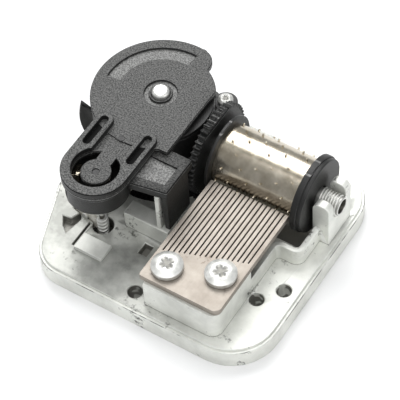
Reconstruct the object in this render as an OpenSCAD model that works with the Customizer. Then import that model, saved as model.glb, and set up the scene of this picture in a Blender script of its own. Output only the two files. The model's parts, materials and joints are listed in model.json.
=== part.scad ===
// Wind-up music box movement: a cast base that carries a steel comb, a pinned
// cylinder, a spring barrel under a moulded cover, and a worm-driven governor.
// X runs along the cylinder, Y runs from the comb's screws to its tips, Z is up.
// The origin is at the middle of the base's underside.

/* [Base casting] */
// Length of the base along the cylinder
base_w = 50; // [48:0.5:56]
// Depth of the base along the comb
base_d = 45; // [44:0.5:52]
// Height of the deck above the table
deck_z = 4.3; // [4:0.1:4.8]
// Thickness of the deck over the hollow underside
deck_t = 1.9; // [1.4:0.1:2.4]
// Wall of the base round the hollow underside
base_wall = 2.2; // [1.6:0.1:3]
// Radius of the front corner beside the comb
corner_front_r = 9; // [7:0.5:10]
// Radius of the back corner beside the stub
corner_back_r = 8; // [6:0.5:9]
// Radius of the front corner beside the governor
corner_governor_r = 6.5; // [5:0.5:7.5]
// Set-back of the governor corner from the left side
corner_governor_in = 4; // [2:0.5:5]
// Bevel round the top edge of the base
edge_bevel = 0.5; // [0.2:0.1:0.8]
// Radius of the mounting holes
mount_r = 1.35; // [1:0.05:1.5]
// Wall left round the barrel well
well_wall = 0.8; // [0.6:0.1:1.2]
// Floor under the barrel
well_floor = 1.3; // [1:0.1:1.4]
// Floor of the trough under the cylinder
trough_floor = 2; // [1.5:0.1:2.6]
// Thickness of the curved wall beside the comb
rim_wall_t = 1.1; // [0.8:0.1:1.5]
// Height of the curved wall above the deck
rim_wall_h = 3.8; // [3:0.1:4.5]
// Radius of the bends of the curved wall
rim_bend_r = 0.8; // [0.4:0.1:1]

/* [Comb] */
// Number of comb teeth
tooth_count = 18; // [12:1:20]
// Distance between neighbouring teeth
tooth_pitch = 0.87; // [0.8:0.01:0.9]
// Width of the slots between the teeth
slot_w = 0.24; // [0.15:0.01:0.3]
// Thickness of the comb plate
comb_t = 1.2; // [0.8:0.1:1.6]
// Length of the comb from its front edge to the tips
comb_l = 23.2; // [22:0.1:24]
// Length of the lowest note's tooth
bass_tooth_l = 17; // [14:0.1:17.5]
// Length of the highest note's tooth
treble_tooth_l = 11.8; // [10:0.1:14]
// Gap between the comb's tips and the path of the pins
tip_gap = 0.12; // [0.08:0.01:0.3]
// Distance of the comb screws from the comb's sides
comb_screw_in = 3.5; // [3.2:0.1:4]
// Distance of the left comb screw from the comb's front edge
comb_screw_front = 3.6; // [3.2:0.1:4]
// How much further back the right comb screw sits
comb_screw_stagger = 3.2; // [2:0.1:3.6]
// Radius of the comb screws' heads
comb_head_r = 2.8; // [2.4:0.1:3]
// Height of the comb screws' heads
comb_head_h = 1.7; // [1.2:0.1:2.2]
// Radius of the comb screws' shanks
comb_shank_r = 1.3; // [1:0.05:1.5]
// Length of the comb screws' shanks below the comb
comb_shank_l = 4.5; // [3:0.1:5]
// Height of a tuning weight under a low tooth
weight_h = 1.3; // [0.8:0.1:1.8]
// Number of teeth that carry a tuning weight
weight_count = 7; // [4:1:9]

/* [Cylinder] */
// Height of the cylinder's axis
axle_z = 11.5; // [11.4:0.05:12]
// Radius of the pinned sleeve
sleeve_r = 5.8; // [5.4:0.05:6]
// Wall of the pinned sleeve
sleeve_wall = 0.5; // [0.3:0.05:0.8]
// Bare end of the pinned sleeve beyond the comb's sides
sleeve_margin = 0.42; // [0.3:0.02:0.5]
// Radius of a pin
pin_r = 0.2; // [0.15:0.01:0.25]
// Height of a pin above the sleeve
pin_h = 0.45; // [0.3:0.01:0.6]
// Number of pins on each tooth's track
pins_per_track = 4; // [2:1:5]
// Radius of the flanges at the sleeve's ends
flange_r = 7.2; // [6.4:0.05:7.4]
// Thickness of the outer flange
flange_t = 2; // [1.5:0.1:2.2]
// Radius of the threaded stub and of the arbor in its bearings
stub_r = 2; // [1.8:0.05:2.2]
// Radius of the hole down the stub
stub_bore_r = 1.4; // [1:0.05:1.5]
// Length of the threaded stub beyond the flange
stub_l = 4.4; // [3.9:0.1:4.8]

/* [Gears] */
// Module of the crown gear, the cylinder gear and the pinion
gear_m = 0.34; // [0.335:0.001:0.342]
// Teeth of the crown gear under the barrel
crown_n = 64; // [64:1:64]
// Teeth of the cylinder gear
cylinder_n = 50; // [50:1:50]
// Teeth of the pinion on the worm-wheel shaft
pinion_n = 10; // [10:1:10]
// Teeth of the worm wheel
wheel_n = 18; // [18:1:18]
// Height of a tooth above the pitch line, in modules
addendum = 0.7; // [0.5:0.05:0.75]
// Depth of a tooth below the pitch line, in modules
dedendum = 1.3; // [1.1:0.05:1.4]
// Face width of the crown gear
crown_face = 1.5; // [1.2:0.1:1.6]
// Face width of the cylinder gear
gear_face = 1.4; // [1:0.1:1.5]
// Thickness of the crown gear's plate
crown_t = 1; // [0.8:0.05:1.1]
// Pitch radius of the worm
worm_r = 0.85; // [0.75:0.01:0.95]
// Length of the worm
worm_l = 5.6; // [4:0.1:6]
// Thickness of the worm wheel
wheel_t = 1.1; // [0.8:0.1:1.3]
// Radius of the worm-wheel shaft
idler_r = 0.6; // [0.4:0.05:0.7]

/* [Spring barrel] */
// Outer radius of the barrel drum
drum_r = 9.3; // [8.5:0.1:9.5]
// Wall of the barrel drum
drum_wall = 0.9; // [0.6:0.1:1.2]
// Height of the top of the barrel lid
drum_top = 18.3; // [17:0.1:18.4]
// Thickness of the barrel lid
lid_t = 0.9; // [0.6:0.1:1.2]
// Radius of the winding arbor's core
core_r = 3; // [2.6:0.1:3.4]
// Radius of the winding arbor's upper end
arbor_r = 1.6; // [1.3:0.05:1.9]
// Height of the arbor's domed tip above the cover
arbor_tip = 0.9; // [0.4:0.1:1.2]
// Radius of the key socket in the arbor's foot
socket_r = 1.65; // [1.4:0.05:1.8]
// Depth of the key socket
socket_l = 7; // [5:0.5:9]
// Thickness of the mainspring strip
spring_t = 0.25; // [0.15:0.05:0.4]
// Height of the mainspring strip
spring_h = 12; // [10:0.5:12.5]
// Turns of the mainspring
spring_turns = 6; // [4:1:7]

/* [Cover] */
// Height of the top of the cover over the barrel
cover_z = 20; // [19.8:0.1:20.6]
// Thickness of the cover's top
cover_t = 1.2; // [0.9:0.1:1.3]
// Radius of the cover over the barrel
cover_r = 12.4; // [12.2:0.05:12.5]
// Wall of the cover round the barrel
cover_wall = 1.2; // [0.8:0.1:1.4]
// Distance from the arbor to the cover's straight side
cover_side = 8; // [7.8:0.1:9]
// Height of the raised governor arms above the cover
arm_rise = 1; // [0.6:0.1:1.3]
// Width of a governor arm
arm_w = 3.2; // [2.8:0.1:3.4]
// Width of the slot in a governor arm
arm_slot_w = 1.4; // [1:0.1:1.6]
// Length of the slot in a governor arm
arm_slot_l = 6.8; // [5:0.1:7.5]
// Radius of the sunk ring round the arbor
arbor_ring_r = 2.95; // [2.5:0.05:3.2]
// Depth of the recesses in the cover
recess_d = 0.5; // [0.3:0.05:0.7]
// Height of the top of the pocketed tab
tab_z = 19; // [18.6:0.1:19.2]
// Thickness of the pocketed tab
tab_t = 2; // [1.6:0.1:2.2]
// Thickness of the tab's leg at its top
leg_t = 1.5; // [1.2:0.1:1.8]
// Height of the leg's foot above the table
leg_foot_z = 8.3; // [7.5:0.1:9]
// Height of the top of the screw ear
ear_z = 10.8; // [9.5:0.1:11.5]
// Thickness of the screw ear
ear_t = 1.6; // [1.2:0.1:2]
// Radius of the screw ear
ear_r = 2.2; // [2:0.1:2.3]

/* [Governor] */
// Distance from the barrel's axis to the governor's axis along the comb
governor_out = 19.87; // [19.7:0.01:20]
// Shift of the governor's axis to the left of the barrel's axis
governor_side = 0.33; // [0.2:0.01:0.45]
// Outer radius of the governor bracket's ring
ring_r = 6.05; // [5.7:0.05:6.2]
// Radius of the keyhole gap in the ring
keyhole_r = 4.2; // [3.9:0.05:4.4]
// Radius of the tongue's round pad
pad_r = 2.7; // [2.3:0.05:2.9]
// Width of the tongue's neck
tongue_w = 2.9; // [2.4:0.1:3.4]
// Height of the ring's side
ring_h = 2.1; // [1.8:0.1:2.3]
// Outer radius of the brake drum
brake_r = 5.65; // [5.5:0.05:6]
// Wall of the brake drum
brake_wall = 0.8; // [0.6:0.1:1]
// Floor of the brake drum
brake_floor = 0.6; // [0.4:0.1:0.8]
// Height of the brake drum
brake_h = 4; // [3:0.1:4.5]
// Radius of the governor shaft
shaft_r = 0.4; // [0.3:0.02:0.42]
// Length of a brake weight
flyweight_l = 3; // [2:0.1:3.2]
// Height of a brake weight
flyweight_h = 2; // [1.5:0.1:2.4]

/* [Fits] */
// Radial clearance of a turning shaft in its bearing
run_clear = 0.06; // [0.03:0.01:0.09]
// Radial clearance of a screw shank
screw_clear = 0.08; // [0.05:0.01:0.2]
// Gap between parts that turn past each other
turn_gap = 0.25; // [0.2:0.05:0.35]

/* [Hidden] */
$fn = 64;
eps = 0.01;
through = 40;

// Gear sizes and the planes they share
gear_pitch = PI * gear_m;
crown_r = crown_n * gear_m / 2;
cylinder_gear_r = cylinder_n * gear_m / 2;
pinion_r = pinion_n * gear_m / 2;
tooth_up = addendum * gear_m;
tooth_down = dedendum * gear_m;
mesh_z = axle_z - cylinder_gear_r;
crown_root_z = mesh_z - tooth_down;
crown_outer_r = crown_r + crown_face / 2;

// Barrel well and the corner of the base that wraps it
well_r = crown_outer_r + turn_gap;
corner_barrel_r = well_r + well_wall;
barrel_x = corner_barrel_r - base_w / 2;
barrel_y = base_d / 2 - corner_barrel_r;

// Stations along the cylinder's axis
gear_x = barrel_x + crown_r;
yoke_x = barrel_x + well_r;
yoke_t = well_wall;
hub_x = yoke_x + yoke_t + turn_gap;
hub_t = 0.6;
boss_l = 2;
sleeve_x = hub_x + hub_t;
comb_w = tooth_count * tooth_pitch;
sleeve_l = comb_w + 2 * sleeve_margin;
flange_x = sleeve_x + sleeve_l;
stub_x = flange_x + flange_t;
stub_end = stub_x + stub_l;
arbor_start = gear_x - gear_face / 2;
post_x = stub_x + turn_gap * 3;
post_t = 3.2;
post_gap = stub_r + run_clear;
arm_side = 1.7;
post_top = axle_z + 2.8;

// Comb placing: the tips stop just short of the pins' path
pin_tip_r = sleeve_r + pin_h;
comb_x = sleeve_x + sleeve_margin;
comb_tip_y = barrel_y - pin_tip_r - tip_gap;
comb_front_y = comb_tip_y - comb_l;
comb_top = axle_z + 0.1;
comb_z = comb_top - comb_t;
comb_screws_at = [[comb_x + comb_screw_in, comb_front_y + comb_screw_front],
    [comb_x + comb_w - comb_screw_in, comb_front_y + comb_screw_front + comb_screw_stagger]];

// Seat under the comb, drawn in from the comb's outline
seat_in = 1.1;
seat_x = comb_x + seat_in;
seat_w = comb_w - seat_in;
seat_front = comb_front_y - 0.7;
seat_back = comb_tip_y - treble_tooth_l - 0.6;

// Governor, worm wheel and the shaft between wheel and crown gear
governor_x = barrel_x - governor_side;
governor_y = barrel_y - governor_out;
idler_turn = 258.75;
idler_dir = [cos(idler_turn), sin(idler_turn)];
wheel_along = -governor_side * idler_dir[0] - governor_out * idler_dir[1];
wheel_apart = -governor_side * -idler_dir[1] - governor_out * idler_dir[0];
wheel_r = wheel_apart - worm_r;
wheel_m = 2 * wheel_r / wheel_n;
worm_pitch = PI * wheel_m;
worm_up = 0.26;
worm_down = 0.36;
idler_z = mesh_z + pinion_r;
idler_start = crown_r - crown_face / 2;
idler_end = wheel_along + wheel_t / 2 + 0.5;
bearing_start = well_r + well_wall;
bearing_end = wheel_along - wheel_t / 2 - turn_gap;
bearing_w = 3;
bearing_rise = 1.5;
wheel_slot_r = wheel_r + worm_up + turn_gap;

// Levels of the cover and of the governor under it
cover_under = cover_z - cover_t;
arm_top = cover_z + arm_rise;
ring_under = arm_top - ring_h;
tongue_top = cover_z - turn_gap;
tongue_under = ring_under;
tongue_t = tongue_top - tongue_under;
brake_under = ring_under - brake_h;
arm_reach = ring_r - arm_w / 2;
arm_end_y = governor_y + ring_r + 5;
pivot_floor = 1.2;
pivot_bottom = 0.5;
pivot_top = tongue_top - 0.4;
worm_z = idler_z - worm_l / 2;
rotor_under = brake_under + brake_floor + turn_gap;
rotor_top = tongue_under - turn_gap;
tab_right = governor_x + ring_r + 6.5;
tab_left = governor_x + arm_reach;
tab_back = governor_y + 10.6;
tab_front = governor_y + 2.6;
tab_slant = 1.5;
leg_back = tab_back - 1.4;
fin_turn = 212;
fin_reach = cover_r + 2.3;
fin_bend_r = 13;
fin_mid_z = 14.2;
fin_t = 1;
ear_turn = 58;
ear_out = cover_r - cover_wall / 10;
ear_at = [barrel_x + ear_out * cos(ear_turn), barrel_y + ear_out * sin(ear_turn)];
ear_shank_r = 0.9;
ear_shank_l = 3;
ear_head_r = 1.4;
ear_head_h = 1.1;
cover_bend_r = 3;
cover_bend_turn = 82;

// Blocks on the deck
block_x = governor_x + 3.4;
block_front = tab_front - 0.8;
block_d = 3.2;
upright_w = 0.9;
pad_x = governor_x - 1.6;
pad_y = governor_y - 6.9;
mount_places = [[seat_x - 2.8, -base_d / 2 + 3.5], [comb_x + comb_w + mount_r + 0.05, comb_tip_y - 13.3],
    [base_w / 2 - 3.2, comb_tip_y - 9.4]];
clutch_z = 0.35;
clutch_wall = 0.6;
clutch_r = core_r + run_clear + clutch_wall;
weight_in = brake_r - brake_wall - turn_gap - 1.4;

// Turn of the worm that sets a groove against the wheel's tooth at rest
worm_phase = 0.5 + (idler_turn + 270) / 360;

function ray(a, r) = [r * cos(a), r * sin(a)];

// Points along an arc, both ends included
function arc(c, r, from, to, steps) =
    [for (i = [0:steps]) c + ray(from + (to - from) * i / steps, r)];

// Direction of the outer tangent from one corner circle to the next
function tangent(a, b) =
    let (d = [b[0] - a[0], b[1] - a[1]])
    atan2(d[1], d[0]) - acos((a[2] - b[2]) / norm(d));

// Corner circles of the base, anticlockwise: x, y and radius
base_corners = [
    [base_w / 2 - corner_front_r, -base_d / 2 + corner_front_r, corner_front_r],
    [base_w / 2 - corner_back_r, base_d / 2 - corner_back_r, corner_back_r],
    [barrel_x, barrel_y, corner_barrel_r],
    [corner_barrel_r * 0.6 - base_w / 2, -base_d * 0.1, corner_barrel_r * 0.6],
    [corner_governor_r + corner_governor_in - base_w / 2, corner_governor_r - base_d / 2, corner_governor_r]];

// Outline of the base, drawn in by a margin
function base_outline(margin) =
    let (n = len(base_corners))
    [for (i = [0:n - 1])
        let (c = base_corners[i], before = base_corners[(i + n - 1) % n], after = base_corners[(i + 1) % n])
        let (a0 = tangent(before, c), a1 = tangent(c, after))
        let (sweep = (a1 - a0 + 720) % 360)
        each arc([c[0], c[1]], c[2] - margin, a0, a0 + sweep, 8)];

// Outline of a gear with straight-flanked teeth, one of them at angle 0
function gear_outline(n, pitch_r, up, down, tip, root) =
    let (step = 360 / n)
    [for (i = [0:n - 1]) each [
        ray((i - root / 2) * step, pitch_r - down),
        ray((i - tip / 2) * step, pitch_r + up),
        ray((i + tip / 2) * step, pitch_r + up),
        ray((i + root / 2) * step, pitch_r - down)]];

// Turns a solid drawn round Z so that it lies round the cylinder's axis
module on_axle(x) {
    translate([x, barrel_y, axle_z])
        rotate([0, 90, 0])
        children();
}

// Turns a solid drawn round Z so that it lies round the worm-wheel shaft
module on_idler(along) {
    translate([barrel_x, barrel_y, idler_z])
        rotate([0, 0, idler_turn])
        translate([along, 0, 0])
        rotate([0, 90, 0])
        children();
}

module on_barrel(z) {
    translate([barrel_x, barrel_y, z])
        children();
}

module on_governor(z) {
    translate([governor_x, governor_y, z])
        children();
}

// Stadium from one point to another
module stadium(a, b, w) {
    d = b - a;
    translate(a)
        circle(w / 2);
    translate(b)
        circle(w / 2);
    translate(a)
        rotate(atan2(d[1], d[0]))
        translate([0, -w / 2])
        square([norm(d), w]);
}

// Slice of a ring between two angles
module ring_slice(inner, outer, from, to) {
    intersection() {
        difference() {
            circle(outer);
            circle(inner);
        }
        polygon(concat([[0, 0]], arc([0, 0], 2 * outer, from, to, 6)));
    }
}

// Cross-headed screw hanging from the underside of its head
module pan_screw(head_r, head_h, shank_r, shank_l) {
    crown_h = head_h * 0.55;
    slot = head_r * 0.3;
    difference() {
        union() {
            cylinder(r = head_r, h = head_h - crown_h);
            translate([0, 0, head_h - crown_h])
                intersection() {
                    cylinder(r = head_r, h = crown_h);
                    translate([0, 0, crown_h - (head_r * head_r + crown_h * crown_h) / (2 * crown_h)])
                        sphere(r = (head_r * head_r + crown_h * crown_h) / (2 * crown_h));
                }
        }
        for (a = [0, 90])
            rotate([0, 0, a + 20])
            translate([-head_r * 0.55, -slot / 2, head_h * 0.45])
            cube([head_r * 1.1, slot, head_h]);
    }
    translate([0, 0, -shank_l])
        cylinder(r = shank_r, h = shank_l);
}

// Wall that bends twice on its way from the comb seat to the bearing post
module rim_wall() {
    start = [seat_x + seat_w - rim_wall_t, seat_back - 0.5];
    cross_y = comb_tip_y - 4;
    outer_r = rim_bend_r + rim_wall_t;
    first = [start[0] + outer_r, cross_y - rim_bend_r];
    second = [post_x + 0.3 - rim_bend_r, cross_y + outer_r];
    translate([0, 0, deck_z - eps])
        linear_extrude(rim_wall_h) {
            translate(start)
                square([rim_wall_t, first[1] - start[1] + eps]);
            translate(first)
                ring_slice(rim_bend_r, outer_r, 180, 90);
            translate([first[0] - eps, cross_y])
                square([second[0] - first[0] + 2 * eps, rim_wall_t]);
            translate(second)
                ring_slice(rim_bend_r, outer_r, 270, 360);
            translate([second[0] + rim_bend_r, second[1] - eps])
                square([rim_wall_t, barrel_y - post_gap - second[1]]);
        }
}

// Upright with rounded shoulders and an open half-round seat for the cylinder's arbor
module axle_yoke(x, thick, half_w, top, shoulder_r) {
    difference() {
        translate([x, barrel_y + half_w, 0])
            rotate([90, 0, 0])
            linear_extrude(2 * half_w)
            polygon(concat(
                [[0, deck_z - eps], [thick, deck_z - eps]],
                arc([thick - shoulder_r, top - shoulder_r], shoulder_r, 0, 90, 6),
                arc([shoulder_r, top - shoulder_r], shoulder_r, 90, 180, 6)));
        on_axle(x - eps)
            cylinder(r = post_gap, h = thick + 2 * eps);
        translate([x - eps, barrel_y - post_gap, axle_z])
            cube([thick + 2 * eps, 2 * post_gap, through]);
    }
}

// Casting with its comb seat, bearings, wells and bosses
module base_plate() {
    color("gainsboro")
        difference() {
            union() {
                linear_extrude(deck_z - edge_bevel)
                    polygon(base_outline(0));
                translate([0, 0, deck_z - edge_bevel - eps])
                    linear_extrude(edge_bevel + eps)
                    polygon(base_outline(edge_bevel));
                comb_seat();
                rim_wall();
                axle_yoke(yoke_x, yoke_t, 4.6, axle_z, yoke_t / 4);
                axle_yoke(post_x, post_t, post_gap + arm_side, post_top, 1.2);
                leg_block();
                worm_pad();
                ear_post();
                idler_bearing();
            }
            barrel_well();
            cylinder_trough();
            worm_wheel_wells();
            underside();
            for (p = mount_places)
                translate([p[0], p[1], -eps])
                cylinder(r = mount_r, h = through);
            for (p = comb_screws_at)
                translate([p[0], p[1], comb_z - comb_shank_l - 0.4])
                cylinder(r = comb_shank_r + screw_clear, h = through);
        }
}

module comb_seat() {
    corner = 2;
    translate([0, 0, deck_z - eps])
        linear_extrude(comb_z - deck_z + eps)
        polygon(concat(
            arc([seat_x + seat_w - corner, seat_front + corner], corner, -90, 0, 6),
            [[seat_x + seat_w, seat_back], [seat_x, seat_back - 3], [seat_x, seat_front]]));
}

// Block and thin upright that the cover's leg stands against
module leg_block() {
    translate([block_x, block_front, deck_z - eps])
        cube([tab_right - block_x, block_d, leg_foot_z - deck_z + eps]);
    translate([tab_right - leg_t - upright_w - 0.1, block_front + 0.4, leg_foot_z - eps])
        cube([upright_w, block_d - 0.9, tab_z - tab_t - leg_foot_z - 0.2]);
}

// Low pad in front of the worm
module worm_pad() {
    translate([pad_x, pad_y, deck_z - eps])
        cube([5.8, 3.6, 0.8 + eps]);
}

module ear_post() {
    translate([ear_at[0], ear_at[1], deck_z - eps])
        cylinder(r = ear_r - 0.3, h = ear_z - ear_t - deck_z + eps);
}

module idler_bearing() {
    translate([barrel_x, barrel_y, 0])
        rotate([0, 0, idler_turn])
        translate([bearing_start, -bearing_w / 2, deck_z - eps])
        cube([bearing_end - bearing_start, bearing_w, idler_z + bearing_rise - deck_z]);
}

// Round well for the barrel, its arbor bearing and the clutch-spring seat
module barrel_well() {
    on_barrel(well_floor)
        cylinder(r = well_r, h = deck_z - well_floor + eps);
    on_barrel(-eps)
        cylinder(r = core_r + run_clear, h = through);
    on_barrel(clutch_z)
        cylinder(r = clutch_r + screw_clear, h = through);
    translate([ear_at[0], ear_at[1], ear_z - ear_t - ear_shank_l - 0.3])
        cylinder(r = ear_shank_r + screw_clear, h = through);
}

// Trough under the sleeve, with a deeper slot for the cylinder gear
module cylinder_trough() {
    half = flange_r * 0.95;
    translate([hub_x - turn_gap / 2, barrel_y - half, trough_floor])
        cube([stub_x + turn_gap - hub_x + turn_gap / 2, 2 * half, deck_z]);
    translate([gear_x - gear_face / 2 - turn_gap, barrel_y - half, mesh_z - tooth_up - turn_gap])
        cube([yoke_x - gear_x + gear_face / 2 + turn_gap, 2 * half, deck_z]);
}

// Wells for the worm and its wheel, and the openings in the deck round them
module worm_wheel_wells() {
    on_governor(pivot_floor)
        cylinder(r = worm_r + worm_up + 0.8, h = through);
    on_governor(pivot_bottom - 0.2)
        cylinder(r = shaft_r + run_clear, h = through);
    on_idler(wheel_along - wheel_t / 2 - turn_gap)
        cylinder(r = wheel_slot_r, h = wheel_t + 2 * turn_gap);
    on_idler(0)
        cylinder(r = idler_r + run_clear, h = idler_end + turn_gap);
    on_idler(0)
        cylinder(r = pinion_r + tooth_up + turn_gap, h = bearing_start - turn_gap);
    translate([pad_x - 0.9, pad_y + 0.6, deck_z - 1])
        cube([0.5, 5.6, through]);
    on_governor(deck_z - 1.6) {
        translate([8.5, -1.9, 0])
            cube([1.8, 2.4, through]);
        linear_extrude(through)
            polygon([[-7.35, -1.8], [-5.75, -1.6], [-4.9, 0.4], [-4.1, -0.9], [-4.75, -4.65], [-6.1, -3.6]]);
    }
}

// Shallow hollow under the front of the base, left solid round the holes
module underside() {
    pocket_back = pad_y + 2.5;
    difference() {
        translate([0, 0, -eps])
            linear_extrude(deck_z - deck_t + eps)
            intersection() {
                polygon(base_outline(base_wall));
                translate([-base_w, -base_d])
                    square([2 * base_w, base_d + pocket_back]);
            }
        for (p = mount_places)
            translate([p[0], p[1], -1])
            cylinder(r = mount_r + 1.5, h = deck_z);
    }
}

module tone_comb() {
    color("rosybrown")
        difference() {
            translate([comb_x, comb_front_y, comb_z])
                linear_extrude(comb_t)
                polygon(concat(
                    [[comb_w, comb_l], [0, comb_l]],
                    arc([0.5, 0.5], 0.5, 180, 270, 4),
                    arc([comb_w - 1.2, 1.2], 1.2, 270, 360, 6)));
            for (i = [1:tooth_count - 1])
                translate([comb_x + i * tooth_pitch - slot_w / 2, comb_tip_y - tooth_l(i - 0.5), comb_z - eps])
                cube([slot_w, tooth_l(0) + through, comb_t + 2 * eps]);
            for (p = comb_screws_at)
                translate([p[0], p[1], comb_z - eps])
                cylinder(r = comb_shank_r + 2 * screw_clear, h = comb_t + 2 * eps);
        }
}

// Length of a tooth, from the lowest note to the highest
function tooth_l(i) = bass_tooth_l + (treble_tooth_l - bass_tooth_l) * i / (tooth_count - 1);

module comb_screws() {
    color("silver")
        for (p = comb_screws_at)
            translate([p[0], p[1], comb_top])
            pan_screw(comb_head_r, comb_head_h, comb_shank_r, comb_shank_l + comb_t);
}

// Lead weights under the free ends of the low teeth
module comb_weights() {
    color("dimgray")
        for (i = [0:weight_count - 1])
            translate([comb_x + i * tooth_pitch + slot_w / 2, comb_tip_y - 5.2 + i * 0.2, comb_z - weight_h])
            cube([tooth_pitch - slot_w, 3.4 - i * 0.25, weight_h]);
}

// Outline of the cover's top over the barrel, drawn in beside the cylinder gear
module cover_top() {
    difference() {
        union() {
            intersection() {
                circle(cover_r, $fn = 96);
                polygon(concat([[0, 0]], arc([0, 0], 2 * cover_r, cover_bend_turn, 360, 8)));
            }
            translate(ray(cover_bend_turn, cover_r - cover_bend_r))
                circle(cover_bend_r - 0.05);
            circle(drum_r + 0.35);
            translate([governor_x - barrel_x - ring_r, tab_back - barrel_y])
                square([ring_r + cover_side + governor_side, barrel_y - tab_back]);
        }
        translate([cover_side, -through])
            square(2 * through);
    }
}

// Moulded cover with the governor bracket, the pocketed tab and the screw ear
module spring_cover() {
    color("dimgray") {
        difference() {
            union() {
                on_barrel(cover_under)
                    linear_extrude(cover_t)
                    cover_top();
                on_barrel(deck_z)
                    linear_extrude(cover_under - deck_z + eps)
                    ring_slice(cover_r - cover_wall, cover_r - 0.1, cover_bend_turn - 2, 236);
                cover_fin();
                cover_ear();
                governor_bracket();
                cover_tab();
            }
            on_barrel(cover_under - eps)
                cylinder(r = arbor_r + run_clear, h = through);
            on_barrel(cover_z - recess_d)
                difference() {
                    cylinder(r = arbor_ring_r, h = through);
                    translate([0, 0, -eps])
                        cylinder(r = arbor_r + 0.5, h = through + 2 * eps);
                }
            on_barrel(cover_z - recess_d)
                linear_extrude(through)
                ring_slice(cover_r - 4.6, cover_r - 2, 85, 187);
            translate([ear_at[0], ear_at[1], ear_z - ear_t - eps])
                cylinder(r = ear_shank_r + screw_clear, h = ear_t + 2 * eps);
        }
    }
}

// Curved horn on the left of the barrel wall, drawn as distance from the barrel's axis and height
module cover_fin() {
    wall_r = cover_r - cover_wall / 2;
    tip_turn = 17.5;
    foot_turn = -34;
    on_barrel(0)
        rotate([0, 0, fin_turn])
        translate([0, fin_t / 2, 0])
        rotate([90, 0, 0])
        linear_extrude(fin_t)
        polygon(concat(
            arc([fin_reach - fin_bend_r, fin_mid_z], fin_bend_r, foot_turn, tip_turn, 8),
            [[wall_r, fin_mid_z + 0.9], [wall_r, fin_mid_z + fin_bend_r * sin(foot_turn)]]));
}

module cover_ear() {
    on_barrel(ear_z - ear_t)
        linear_extrude(ear_t)
        difference() {
            union() {
                translate(ear_at - [barrel_x, barrel_y])
                    circle(ear_r);
                ring_slice(cover_r - cover_wall + 0.1, cover_r - 0.2, ear_turn, cover_bend_turn + 2);
            }
            circle(drum_r + 2 * turn_gap);
        }
}

// Ring, slotted arms and keyhole tongue over the governor
module governor_bracket() {
    pivot_h = pivot_top - tongue_under + 0.1;
    difference() {
        union() {
            on_governor(ring_under)
                linear_extrude(ring_h)
                difference() {
                    union() {
                        circle(ring_r);
                        for (s = [-1, 1])
                            stadium([s * arm_reach, 0], [s * arm_reach, arm_end_y - governor_y - arm_w / 2], arm_w);
                    }
                    circle(keyhole_r);
                    translate([-arm_reach + arm_w / 2, 0])
                        square([2 * arm_reach - arm_w, through]);
                }
            on_governor(tongue_under)
                linear_extrude(tongue_t)
                tongue();
            translate([governor_x, governor_y + 8, tongue_top - eps])
                cylinder(r = 0.6, h = 0.35);
        }
        for (s = [-1, 1])
            on_governor(ring_under + ring_h * 0.45)
            linear_extrude(ring_h)
            stadium([s * arm_reach, arm_end_y - governor_y - arm_w / 2 - arm_slot_l + arm_slot_w],
                [s * arm_reach, arm_end_y - governor_y - arm_w / 2], arm_slot_w);
        on_governor(tongue_under - eps)
            cylinder(r = shaft_r + run_clear, h = pivot_h);
        on_governor(tongue_top - 0.2)
            cylinder(r = 0.6, h = through);
    }
}

// Spring tongue with the governor's upper pivot at its round end
module tongue() {
    span = 2 * arm_reach - arm_w + 0.8;
    circle(pad_r);
    translate([-tongue_w / 2, 0])
        square([tongue_w, keyhole_r + 1]);
    difference() {
        translate([-span / 2, 0])
            square([span, barrel_y - cover_r - governor_y + 4]);
        circle(keyhole_r + 0.1);
    }
}

// Square tab with a shallow pocket and a tapered leg on its right
module cover_tab() {
    rim = 1.3;
    foot_t = leg_t * 0.65;
    difference() {
        translate([0, 0, tab_z - tab_t])
            linear_extrude(tab_t)
            polygon([[tab_left, tab_back], [tab_left, tab_front - tab_slant], [tab_right, tab_front], [tab_right, tab_back]]);
        translate([0, 0, tab_z - recess_d])
            linear_extrude(through)
            polygon([
                [tab_left + rim, tab_back - 2 * rim], [tab_left + rim, tab_front + rim - tab_slant * 0.7],
                [tab_right - rim, tab_front + rim], [tab_right - rim, tab_back - 2 * rim]]);
        on_barrel(tab_z - tab_t - eps)
            cylinder(r = drum_r + turn_gap, h = drum_top + turn_gap - tab_z + tab_t + eps);
        on_governor(brake_under)
            cylinder(r = brake_r, h = brake_h);
    }
    translate([0, leg_back, 0])
        rotate([90, 0, 0])
        linear_extrude(leg_back - tab_front)
        polygon([
            [tab_right - leg_t, tab_z - tab_t + eps], [tab_right, tab_z - tab_t + eps],
            [tab_right, leg_foot_z], [tab_right - foot_t, leg_foot_z]]);
    translate([tab_left, tab_back - rim, tab_z - eps])
        cube([barrel_x + cover_side - tab_left, rim, cover_z - tab_z]);
    translate([tab_left, tab_back - rim, cover_under])
        cube([barrel_x + cover_side - tab_left, rim, tab_z - cover_under]);
}

module cover_screw() {
    color("silver")
        translate([ear_at[0], ear_at[1], ear_z])
        pan_screw(ear_head_r, ear_head_h, ear_shank_r, ear_t + ear_shank_l);
}

// Cup that the governor's weights rub against, with a window in its left side
module governor_drum() {
    window_w = brake_r * 0.8;
    window_turn = 215;
    color("dimgray")
        on_governor(brake_under)
        difference() {
            cylinder(r = brake_r, h = brake_h);
            translate([0, 0, brake_floor])
                cylinder(r = brake_r - brake_wall, h = through);
            translate([0, 0, -eps])
                cylinder(r = shaft_r + turn_gap, h = through);
            rotate([0, 0, window_turn])
                translate([0, -window_w / 2, brake_floor + 0.3])
                cube([through, window_w, brake_h * 0.5]);
        }
}

// Coil that grips the arbor and lets it turn one way only
module clutch_spring() {
    color("silver")
        on_barrel(clutch_z)
        difference() {
            cylinder(r = clutch_r, h = well_floor - clutch_z);
            translate([0, 0, -eps])
                cylinder(r = core_r + run_clear, h = through);
        }
}

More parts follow.
